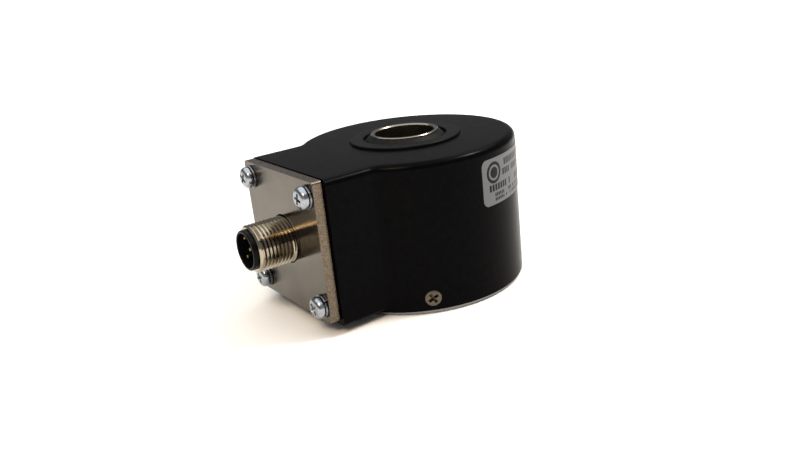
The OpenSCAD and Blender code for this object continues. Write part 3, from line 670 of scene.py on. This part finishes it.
def coded_glass(track_low, track_high):
    """Float glass with chrome code lines: clear, with a dark ring of fine radial bars."""
    material = surface("coded_float_glass", "#dfe8ea", 0.06, IOR=1.52, Transmission_Weight=0.9)
    x, y, _, angle = round_axis(material)
    flat = add(material, "CombineXYZ", links={0: x, 1: y})
    radius = add(material, "VectorMath", {"operation": "LENGTH"}, {0: flat}).outputs["Value"]
    # A real disc has 1024 lines. Fewer are drawn, so that each is wide enough to show.
    lines = 180.0
    swing = add(material, "Math", {"operation": "MULTIPLY", 1: lines}, {0: angle})
    wave = add(material, "Math", {"operation": "SINE"}, {0: swing})
    bars = add(material, "Math", {"operation": "GREATER_THAN", 1: 0.0}, {0: wave})
    inner = add(material, "Math", {"operation": "GREATER_THAN", 1: track_low * MM}, {0: radius})
    outer = add(material, "Math", {"operation": "LESS_THAN", 1: track_high * MM}, {0: radius})
    ring = add(material, "Math", {"operation": "MULTIPLY"}, {0: inner, 1: outer})
    chrome = add(material, "Math", {"operation": "MULTIPLY"}, {0: ring, 1: bars})
    tint(material, chrome, "#dfe8ea", "#6a6c70", 0.4, 0.6)
    link(material, chrome, "Metallic")
    return material


def wire_pvc(name, colour):
    """PVC insulation, extruded: smooth, with a low gloss."""
    material = surface(name, colour, 0.38, IOR=1.53)
    roughen(material, speckle(material, 0.8, (0.3, 1, 1)), 0.32, 0.45)
    return material


# Lines of print on the label in millimetres: their middle below its top edge, first and last place along it,
# height, and the width of one dash with the gap after it.
PRINT_LINES = (
    (2.0, 7.6, 28.0, 1.7, 1.1),
    (4.4, 7.6, 26.0, 1.6, 1.0),
    (7.5, 1.9, 27.0, 1.7, 1.1),
    (9.4, 4.2, 22.0, 0.9, 0.7),
    (10.6, 4.2, 25.0, 0.8, 0.7),
)


def printed_film(film, print_colour, top, radius, emblem):
    """Polyester label film, thermal printed: satin pale grey with plain dashes and a round mark."""
    material = surface("printed_polyester_film", film, 0.42, IOR=1.6, Specular_IOR_Level=0.08)
    # A dash fills this much of its cell, and this share of the cells stays blank.
    dash_share, blank_share = 0.72, 0.22
    # How far the mark stands from the film's left and top edges.
    mark_left, mark_top = 1.5, 0.9
    _, _, z, angle = round_axis(material)
    # Millimetres along the film from its start, and below its top edge.
    along = add(material, "Math", {"operation": "MULTIPLY_ADD", 1: radius, 2: -LABEL_START * radius},
                {0: angle})
    below = add(material, "Math", {"operation": "MULTIPLY_ADD", 1: -1 / MM, 2: top}, {0: z})
    ink = None
    for number, (depth, first, last, height, dash) in enumerate(PRINT_LINES):
        row = add(material, "Math", {"operation": "COMPARE", 1: depth, 2: height / 2}, {0: below})
        middle, half = (first + last) / 2, (last - first) / 2
        span = add(material, "Math", {"operation": "COMPARE", 1: middle, 2: half}, {0: along})
        count = add(material, "Math", {"operation": "DIVIDE", 1: dash}, {0: along})
        cell = add(material, "Math", {"operation": "FLOOR"}, {0: count})
        place = add(material, "Math", {"operation": "FRACT"}, {0: count})
        body = add(material, "Math", {"operation": "LESS_THAN", 1: dash_share}, {0: place})
        spot = add(material, "CombineXYZ", {1: float(number)}, {0: cell})
        chance = add(material, "TexWhiteNoise", {"noise_dimensions": "2D"}, {0: spot})
        kept = add(material, "Math", {"operation": "GREATER_THAN", 1: blank_share}, {0: chance})
        for other in (span, body, kept):
            row = add(material, "Math", {"operation": "MULTIPLY"}, {0: row, 1: other})
        ink = row if ink is None else add(material, "Math", {"operation": "MAXIMUM"}, {0: ink, 1: row})
    # The mark is a plain disc with a pale ring in it.
    spot = add(material, "CombineXYZ", links={0: along, 1: below})
    away = add(material, "VectorMath",
               {"operation": "DISTANCE", 1: (mark_left + emblem, mark_top + emblem, 0)},
               {0: spot}).outputs["Value"]
    disc = add(material, "Math", {"operation": "LESS_THAN", 1: emblem}, {0: away})
    ring = add(material, "Math", {"operation": "COMPARE", 1: emblem * 0.62, 2: emblem * 0.1}, {0: away})
    mark = add(material, "Math", {"operation": "SUBTRACT"}, {0: disc, 1: ring})
    ink = add(material, "Math", {"operation": "MAXIMUM"}, {0: ink, 1: mark})
    tint(material, ink, film, print_colour, 0.4, 0.6)
    return material


def studio_floor():
    """Matt painted board: pale and plain."""
    material = surface("matt_painted_board", "#f4f4f2", 0.9, Specular_IOR_Level=0.1)
    tint(material, speckle(material, 60.0), "#f3f3f1", "#f6f6f4")
    return material


# ---------------------------------------------------------------- operators


class Making:
    """What the operators share."""

    bl_options = {"REGISTER", "UNDO"}

    def execute(self, context):
        self.make(context.scene)
        return {"FINISHED"}


class ENCODER_OT_housing(Making, bpy.types.Operator):
    """Finish the cover, the base and what seals them"""

    bl_idname = "encoder.housing"
    bl_label = "Housing"

    def make(self, scene):
        coat(powder_coat(scene.encoder_colours.coat), "cover")
        coat(turned_aluminium(), "base")
        coat(rubber(), "base_seal", "access_plug", "plate_gasket", "shell_seal", "shaft_seal", "dust_ring")


class ENCODER_OT_cap(Making, bpy.types.Operator):
    """Turn the moulded ring round the shaft's opening"""

    bl_idname = "encoder.cap"
    bl_label = "Top ring"

    def make(self, scene):
        low, high = cad_box("top_cap")
        seal_low, seal_high = cad_box("shaft_seal")
        rim_h, rim_w, shelf_w, gap = 2.25, 2.1, 0.9, 0.02
        outer, opening = high.x, seal_high.x + gap
        neck, shelf, seat = outer - rim_w, opening - shelf_w, high.z - rim_h
        outline = rounded([(shelf, low.z, 0.1), (neck, low.z, 0.1), (neck, seat), (outer, seat),
                           (outer, high.z, 0.4), (opening, high.z, 0.35), (opening, seal_low.z),
                           (shelf, seal_low.z)])
        ring = solid("moulded_top_ring", lambda bm: turned(bm, outline, steps=144))
        plastic = moulded_plastic(colour=scene.encoder_colours.ring)
        finish(ring, plastic, ["top_cap"])


class ENCODER_OT_shaft(Making, bpy.types.Operator):
    """Finish the hollow shaft and its clamp"""

    bl_idname = "encoder.shaft"
    bl_label = "Shaft and clamp"

    def make(self, scene):
        coat(ground_steel(), "hollow_shaft")
        coat(black_oxide(), "clamp_collar", "clamp_screw", "hub_set_screws")


class ENCODER_OT_plate(Making, bpy.types.Operator):
    """Cut the connector's plate, with rounded edges and sheared sides"""

    bl_idname = "encoder.plate"
    bl_label = "Connector plate"

    def make(self, scene):
        sizes = scene.encoder_connector
        low, high = cad_box("connector_plate")
        middle = (low.z + high.z) / 2
        half_w, half_h = (high.y - low.y) / 2, (high.z - low.z) / 2
        shell_gap, screw_gap = 0.3, 0.15
        outline = rounded([(x * half_w, middle - axis_height() + z * half_h, sizes.plate_corner)
                           for x, z in ((-1, -1), (1, -1), (1, 1), (-1, 1))], 4)
        holes = [circle(SHELL_RADIUS + shell_gap, steps=72)]
        holes += [circle(SCREW_RADIUS + screw_gap, centre, 32) for centre in screw_centres()]
        plate = solid("nickel_plate_cut",
                      lambda bm: prism(bm, outline, holes, 0, high.x - low.x, facing_out(high.x)))
        round_edges(plate, sizes.plate_edge, 3)
        finish(plate, nickel_sheet(), ["connector_plate"])
        plate.data.materials.append(sheared_edge())
        # The sheared faces look sideways and lie near the rim. The holes' walls lie further in.
        for face in plate.data.polygons:
            centre = face.center / MM
            outward = max(abs(centre.y) / half_w, abs(centre.z - middle) / half_h)
            if abs(face.normal.x) < 0.3 and outward > 0.9:
                face.material_index = 1


class ENCODER_OT_plate_screws(Making, bpy.types.Operator):
    """Make the four pan head screws and their spring washers"""

    bl_idname = "encoder.plate_screws"
    bl_label = "Plate screws and washers"

    def make(self, scene):
        sizes = scene.encoder_fasteners
        low, high = cad_box("plate_screws")
        washer_low, washer_high = cad_box("lock_washers")
        head_r, head_h = PAN_HEAD * SCREW_RADIUS, washer_low.x - low.x
        length = high.x - washer_low.x
        thick = washer_high.x - washer_low.x
        steel, washer_metal = zinc_steel(), washer_steel()
        point, plain, recess = 0.4, 0.6, 1.3
        outline = [(0, -length), (SCREW_RADIUS - point, -length),
                   Thread(point - length, -plain, SCREW_RADIUS, 0.5, 0.28), (SCREW_RADIUS, 0)]
        outline += rounded([(head_r, 0, 0.2), (head_r, head_h, sizes.head_round), (0, head_h)], 8)
        for number, (across, up) in enumerate(screw_centres(), 1):
            turn = spin(math.radians(37 * number))
            place = facing_out(washer_low.x, across, up) @ turn
            screw = solid(f"plate_screw_{number}", lambda bm: turned(bm, outline, place, 48))
            top = place @ Matrix.Translation((0, 0, head_h))
            carve(screw, lambda bm: cross_tip(bm, top, sizes.recess_reach, sizes.recess_slot, recess))
            finish(screw, steel, ["plate_screws"], 35)
            seat = facing_out(washer_high.x, across, up) @ turn
            washer = solid(f"spring_washer_{number}",
                           lambda bm: self.washer(bm, seat, sizes.washer_split, thick))
            finish(washer, washer_metal, ["lock_washers"], 35)

    @staticmethod
    def washer(bm, place, split, thick, inner=SCREW_RADIUS + 0.05, outer=SCREW_RADIUS * 1.95, lift=0.06):
        """A coil of square wire, just short of one turn, whose ends stand apart."""
        edge, steps = 0.12, 56
        square = rounded([(inner, lift, edge), (outer, lift, edge), (outer, thick - lift, edge),
                          (inner, thick - lift, edge)], 2)
        sections = []
        for k in range(steps + 1):
            turn = place @ spin(split / 2 + (math.tau - split) * k / steps)
            rise = lift * (2 * k / steps - 1)
            sections.append([turn @ Vector((r, 0, z + rise)) for r, z in square])
        swept(bm, sections)


class ENCODER_OT_shell(Making, bpy.types.Operator):
    """Cut the connector's threaded shell and its hexagon flange"""

    bl_idname = "encoder.shell"
    bl_label = "Threaded shell"

    def make(self, scene):
        sizes = scene.encoder_connector
        low, high = cad_box("connector_shell")
        face = cad_box("connector_plate")[0].x
        place = facing_out(face)
        front, rear = face - low.x, face - high.x
        back_face = face - cad_box("plate_gasket")[1].x
        flange, chamfer, lip, sunk = 2.5, 0.45, 0.15, 0.05
        neck, tail, bore = SHELL_RADIUS - 0.3, SHELL_RADIUS + 0.5, sizes.shell_bore
        outline = [(bore, rear), (tail - 0.3, rear), (tail, rear + 0.3), (tail, back_face - flange),
                   (neck, back_face - flange), (neck, -sunk), (SHELL_RADIUS, -sunk),
                   Thread(0.1, front - chamfer - 0.1, SHELL_RADIUS, sizes.thread_pitch, sizes.thread_depth),
                   (SHELL_RADIUS, front - chamfer), (SHELL_RADIUS - chamfer, front), (bore + lip, front),
                   (bore, front - lip)]
        brass = nickel_brass()
        shell = solid("threaded_shell", lambda bm: turned(bm, outline, place, 96))
        finish(shell, brass, ["connector_shell"], 25)
        flat, gap = SHELL_RADIUS + 2, 0.02
        tip = flat / math.cos(math.pi / 6)
        hexagon = [(tip * math.sin(math.tau * k / 6), tip * math.cos(math.tau * k / 6)) for k in range(6)]
        nut = solid("shell_flange", lambda bm: prism(bm, hexagon, [circle(neck, steps=72)],
                                                     back_face - flange, back_face - gap, place))
        round_edges(nut, 0.2, 2)
        finish(nut, brass, ["connector_shell"])


class ENCODER_OT_insert(Making, bpy.types.Operator):
    """Mould the connector's insert, with its key, and set the five pins in it"""

    bl_idname = "encoder.insert"
    bl_label = "Insert and pins"

    def make(self, scene):
        sizes = scene.encoder_connector
        low, high = cad_box("connector_insert")
        shell_low = cad_box("connector_shell")[0]
        pin_low, pin_high = cad_box("contact_pins")
        place = facing_out(low.x)
        gap, wall, depth = 0.02, 0.5, 8.0
        lip_r, body_r = (high.y - low.y) / 2, sizes.shell_bore - gap
        socket_r, lip, back = body_r - wall, shell_low.x - low.x, low.x - high.x
        key_w, key_h = 1.2, 1.0
        outline = rounded([(0, back), (body_r, back, 0.3), (body_r, -lip), (lip_r, -lip, 0.15),
                           (lip_r, 0, 0.35), (socket_r, 0, 0.25), (socket_r, -depth, 0.2), (0, -depth)])
        insert = solid("keyed_insert", lambda bm: turned(bm, outline, place, 96))
        key_place = (0, socket_r, -depth / 2 - 0.6)
        carve(insert, lambda bm: block(bm, (key_w, key_h, depth - 0.5), key_place, place, 0.2), "UNION")
        hole_r, mouth_r, mouth = PIN_RADIUS + gap, PIN_RADIUS + 0.25, 0.3 - depth
        hole = [(0, back - 1), (hole_r, back - 1), (hole_r, -depth), (mouth_r, mouth), (0, mouth)]

        def holes(bm):
            for x, y in pin_spots():
                turned(bm, hole, place @ Matrix.Translation((x, y, 0)), 24)

        carve(insert, holes)
        finish(insert, moulded_plastic("black_polyamide", "#08080a", 0.28),
               ["connector_insert"], 35)
        tip, tail = low.x - pin_low.x, low.x - pin_high.x
        pin = rounded([(0, tail), (PIN_RADIUS, tail, 0.1), (PIN_RADIUS, tip, 0.32), (0, tip)], 6)

        def pins(bm):
            for x, y in pin_spots():
                turned(bm, pin, place @ Matrix.Translation((x, y, 0)), 24)

        contacts = solid("turned_pins", pins)
        finish(contacts, gold_plate(), ["contact_pins"])


class ENCODER_OT_cover_screws(Making, bpy.types.Operator):
    """Make the countersunk screws round the cover's lower edge"""

    bl_idname = "encoder.cover_screws"
    bl_label = "Cover screws"

    def make(self, scene):
        low, high = cad_box("cover_screws")
        cover_r = cad_box("cover")[1].x
        head_r, shank_r, length = (high.z - low.z) / 2, 1.08, 7.4
        middle = (low.z + high.z) / 2
        sunk, point, edge = 0.12, 0.3, 0.06
        cone = head_r - shank_r
        outline = [(0, -length), (shank_r - point, -length),
                   Thread(point - length, -cone - 0.5, shank_r, 0.45, 0.22), (shank_r, -cone),
                   (head_r - edge, -edge), (head_r - edge - 0.1, 0), (0, 0)]
        metal = nickel_screw()
        for number, angle in enumerate(COVER_SCREW_TURNS, 1):
            place = spin(math.radians(angle)) @ Matrix.Translation((cover_r - sunk, 0, middle)) @ RADIAL
            place = place @ spin(math.radians(8 + 25 * number))
            screw = solid(f"side_screw_{number}", lambda bm: turned(bm, outline, place, 48))
            carve(screw, lambda bm: cross_tip(bm, place, 1.4, 0.4, 1.2))
            finish(screw, metal, ["cover_screws"], 35)


class ENCODER_OT_label(Making, bpy.types.Operator):
    """Lay the printed label round the cover"""

    bl_idname = "encoder.label"
    bl_label = "Label"

    def make(self, scene):
        sizes, colours = scene.encoder_label, scene.encoder_colours
        low, high = cad_box("label")
        cover_r = cad_box("cover")[1].x
        length = LABEL_LENGTH * cover_r
        corner, thick, end_h = sizes.corner, 0.11, 0.02
        round_steps, steps = 6, 48
        near = [corner * (1 - math.cos(math.pi / 2 * k / round_steps)) for k in range(round_steps)]
        middle = [corner + (length - 2 * corner) * k / steps for k in range(steps + 1)]
        places = near + middle + [length - u for u in reversed(near)]

        def film(bm):
            sections = []
            for u in places:
                inset = corner - min(corner, u, length - u)
                cut = corner - math.sqrt(max(corner ** 2 - inset ** 2, 0))
                cut = min(cut, corner - end_h)
                turn = spin(LABEL_START + u / cover_r)
                square = ((cover_r, low.z + cut), (cover_r + thick, low.z + cut),
                          (cover_r + thick, high.z - cut), (cover_r, high.z - cut))
                sections.append([turn @ Vector((r, 0, z)) for r, z in square])
            swept(bm, sections)

        label = solid("printed_label", film)
        material = printed_film(colours.film, colours.ink, high.z, cover_r, sizes.emblem)
        finish(label, material, ["label"])


class ENCODER_OT_bearings(Making, bpy.types.Operator):
    """Finish both bearings, and what holds them in place"""

    bl_idname = "encoder.bearings"
    bl_label = "Bearings"

    def make(self, scene):
        coat(bearing_steel(), "lower_outer_race", "upper_outer_race", "lower_inner_race", "upper_inner_race",
             "lower_balls", "upper_balls")
        coat(pressed_brass(), "lower_cage", "upper_cage")
        phosphate = spring_steel()
        coat(phosphate, "bearing_spacer", "bearing_clip", "shaft_clip")
        low, high = cad_box("preload_spring")
        width, thick, edge, gap, waves, steps = 1.2, 0.32, 0.08, 0.02, 3, 180
        outer, inner = high.x, high.x - width
        mid, swing = (low.z + high.z) / 2, (high.z - low.z - thick) / 2 - gap

        def wave(bm):
            sections = []
            for k in range(steps):
                angle = math.tau * k / steps
                z = mid + swing * math.cos(waves * angle)
                square = rounded([(inner, z - thick / 2, edge), (outer, z - thick / 2, edge),
                                  (outer, z + thick / 2, edge), (inner, z + thick / 2, edge)], 2)
                sections.append([(r * math.cos(angle), r * math.sin(angle), h) for r, h in square])
            swept(bm, sections, closed=True)

        spring = solid("wave_spring", wave)
        finish(spring, phosphate, ["preload_spring"])


class ENCODER_OT_disc(Making, bpy.types.Operator):
    """Finish the code disc, its hub and its ring"""

    bl_idname = "encoder.disc"
    bl_label = "Code disc"

    def make(self, scene):
        high = cad_box("code_disc")[1]
        track_w, margin = 2.4, 0.4
        coat(coded_glass(high.x - margin - track_w, high.x - margin), "code_disc")
        coat(turned_aluminium("turned_hub_aluminium", "#bcbec0", 0.3), "disc_hub", "disc_ring")


class ENCODER_OT_board(Making, bpy.types.Operator):
    """Finish the circuit board and what stands on it, and mould its header"""

    bl_idname = "encoder.board"
    bl_label = "Circuit board"

    def make(self, scene):
        coat(solder_mask(), "circuit_board")
        coat(pressed_brass("turned_brass", "#c39a55"), "board_pillars")
        coat(zinc_steel(), "board_screws", "lamp_screw")
        coat(moulded_plastic("black_bracket_nylon"), "lamp_bracket")
        coat(chip_epoxy(), "sensor_chip", "board_parts")
        coat(clear_epoxy(), "lamp")
        self.header()

    @staticmethod
    def header():
        """A moulded header with one open channel for each wire."""
        low, high = cad_box("wire_header")
        centre = (low + high) / 2
        width, length, height = high - low
        header = solid("nylon_header", lambda bm: block(bm, (width, length, height), centre, corner=0.3))
        round_edges(header, 0.15, 2)

        def channels(bm):
            for y in (-OUTER_WIRE, -INNER_WIRE, 0, INNER_WIRE, OUTER_WIRE):
                block(bm, (0.7, 1.3, 1.2), (low.x, y, low.z + 1.2))

        carve(header, channels)
        finish(header, header_nylon(), ["wire_header"])


class ENCODER_OT_wires(Making, bpy.types.Operator):
    """Lead five coloured wires from the pins to the header"""

    bl_idname = "encoder.wires"
    bl_label = "Signal wires"

    def make(self, scene):
        pins_back = cad_box("contact_pins")[1].x
        header_low, header_high = cad_box("wire_header")
        header_x = (header_low.x + header_high.x) / 2
        gap, straight, radius, steps = 0.02, 0.5, 0.48, 24
        colours = {"brown": "#5a3420", "white": "#d8d6cf", "blue": "#1f4a8c", "black": "#1a1a1c",
                   "grey": "#7f8286"}
        for (colour, code), (y, z) in zip(colours.items(), pin_spots()):
            run = WIRE_RUNS[(z > 0) - (z < 0)]
            start = Vector((pins_back + gap, y, axis_height() + z))
            end = Vector((header_x, math.copysign(run.place, y), header_low.z - gap))
            first = start + Vector((straight, 0, 0))
            last = end - Vector((0, 0, straight))
            after = first + Vector((run.reach, 0, 0))
            before = last + Vector((run.swing, 0, -run.drop))
            path = [start]
            for k in range(steps + 1):
                t = k / steps
                path.append(first * (1 - t) ** 3 + after * 3 * t * (1 - t) ** 2
                            + before * 3 * t * t * (1 - t) + last * t ** 3)
            path.append(end)
            wire = solid(f"wire_{colour}", lambda bm: tube(bm, path, radius))
            finish(wire, wire_pvc(f"{colour}_pvc", code), ["signal_wires"])


class ENCODER_OT_stage(Making, bpy.types.Operator):
    """Set up the floor, the soft lights and the camera"""

    bl_idname = "encoder.stage"
    bl_label = "Stage"

    def make(self, scene):
        self.floor()
        self.sun()
        # Each softbox has a place and a size in metres, a power in watts and a colour. The warm panel shines
        # on the connector by way of the plate, and the other one draws the cover's edges.
        for name, place, size, power, colour in (
            ("warm_panel", (-0.356, -0.296, 0.44), (0.18, 0.12), 1.7, "#ffdfb4"),
            ("edge_softbox", (0.31, -0.18, 0.47), (0.14, 0.07), 2.6, "#fff6f2"),
        ):
            light = bpy.data.lights.new(name, "AREA")
            light.shape = "RECTANGLE"
            light.size, light.size_y = size
            light.energy = power
            light.color = linear(colour)[:3]
            lamp = bpy.data.objects.new(name, light)
            scene.collection.objects.link(lamp)
            lamp.matrix_world = aimed(Vector(place), Vector((0, 0, 0.02)) - Vector(place))
        world = bpy.data.worlds.new("studio_air")
        world.use_nodes = True
        scene.world = world
        sky = world.node_tree.nodes["Background"]
        sky.inputs["Color"].default_value = linear("#f4f5f7")
        sky.inputs["Strength"].default_value = 0.28
        scene.view_settings.view_transform = "Standard"
        self.camera(scene, scene.encoder_stage)

    @staticmethod
    def sun():
        """A wide overhead light, the same over the whole floor."""
        light = bpy.data.lights.new("ceiling_light", "SUN")
        light.energy = 2.8
        light.angle = math.radians(100)
        lamp = bpy.data.objects.new("ceiling_light", light)
        bpy.context.scene.collection.objects.link(lamp)
        lamp.matrix_world = aimed(Vector((0, 0, 1)), Vector((-0.05, -0.1, -1)))

    @staticmethod
    def floor():
        """A board 180 m across, whose edge is out of sight, just under the encoder."""
        half, corner, thick, gap = 9e4, 5e3, 20, 0.05
        outline = rounded([(-half, -half, corner), (half, -half, corner), (half, half, corner),
                           (-half, half, corner)])
        floor = solid("floor_board", lambda bm: prism(bm, outline, [], -thick, -gap))
        floor.data.transform(Matrix.Scale(MM, 4))
        floor.data.materials.append(studio_floor())

    @staticmethod
    def camera(scene, stage):
        """A camera that looks level and towards +Y at azimuth 0, elevation 0 and roll 0."""
        a, e, r = stage.azimuth, stage.elevation, stage.roll
        back = Vector((math.sin(a) * math.cos(e), -math.cos(a) * math.cos(e), math.sin(e)))
        right = Vector((0, 0, 1)).cross(back).normalized()
        up = back.cross(right)
        turned_right = right * math.cos(r) + up * math.sin(r)
        turned_up = up * math.cos(r) - right * math.sin(r)
        data = bpy.data.cameras.new("camera")
        data.lens = stage.lens
        data.sensor_width = 36
        data.clip_start = 0.005
        camera = bpy.data.objects.new("camera", data)
        scene.collection.objects.link(camera)
        axes = Matrix((turned_right, turned_up, back)).transposed()
        camera.matrix_world = Matrix.Translation(stage.camera_place) @ axes.to_4x4()
        scene.camera = camera


class ENCODER_PT_panel(bpy.types.Panel):
    """The pieces of the encoder"""

    bl_idname = "ENCODER_PT_panel"
    bl_label = "Rotary encoder"
    bl_space_type = "VIEW_3D"
    bl_region_type = "UI"
    bl_category = "Encoder"

    def draw(self, context):
        for owner in SETTINGS:
            group = getattr(context.scene, owner)
            for name in group.__annotations__:
                self.layout.prop(group, name)
        for operator in OPERATORS:
            self.layout.operator(operator.bl_idname)


SETTINGS = {
    "encoder_connector": ConnectorSizes,
    "encoder_fasteners": FastenerSizes,
    "encoder_label": LabelSizes,
    "encoder_colours": FinishColours,
    "encoder_stage": StageSettings,
}
OPERATORS = (
    ENCODER_OT_housing,
    ENCODER_OT_cap,
    ENCODER_OT_shaft,
    ENCODER_OT_plate,
    ENCODER_OT_plate_screws,
    ENCODER_OT_shell,
    ENCODER_OT_insert,
    ENCODER_OT_cover_screws,
    ENCODER_OT_label,
    ENCODER_OT_bearings,
    ENCODER_OT_disc,
    ENCODER_OT_board,
    ENCODER_OT_wires,
    ENCODER_OT_stage,
)


def register():
    for cls in (*SETTINGS.values(), *OPERATORS, ENCODER_PT_panel):
        bpy.utils.register_class(cls)
    for name, group in SETTINGS.items():
        setattr(bpy.types.Scene, name, PointerProperty(type=group))


def unregister():
    for name in SETTINGS:
        delattr(bpy.types.Scene, name)
    for cls in reversed((*SETTINGS.values(), *OPERATORS, ENCODER_PT_panel)):
        bpy.utils.unregister_class(cls)


def main():
    register()
    for operator in OPERATORS:
        getattr(bpy.ops.encoder, operator.bl_idname.split(".")[1])()


if __name__ == "__main__":
    main()
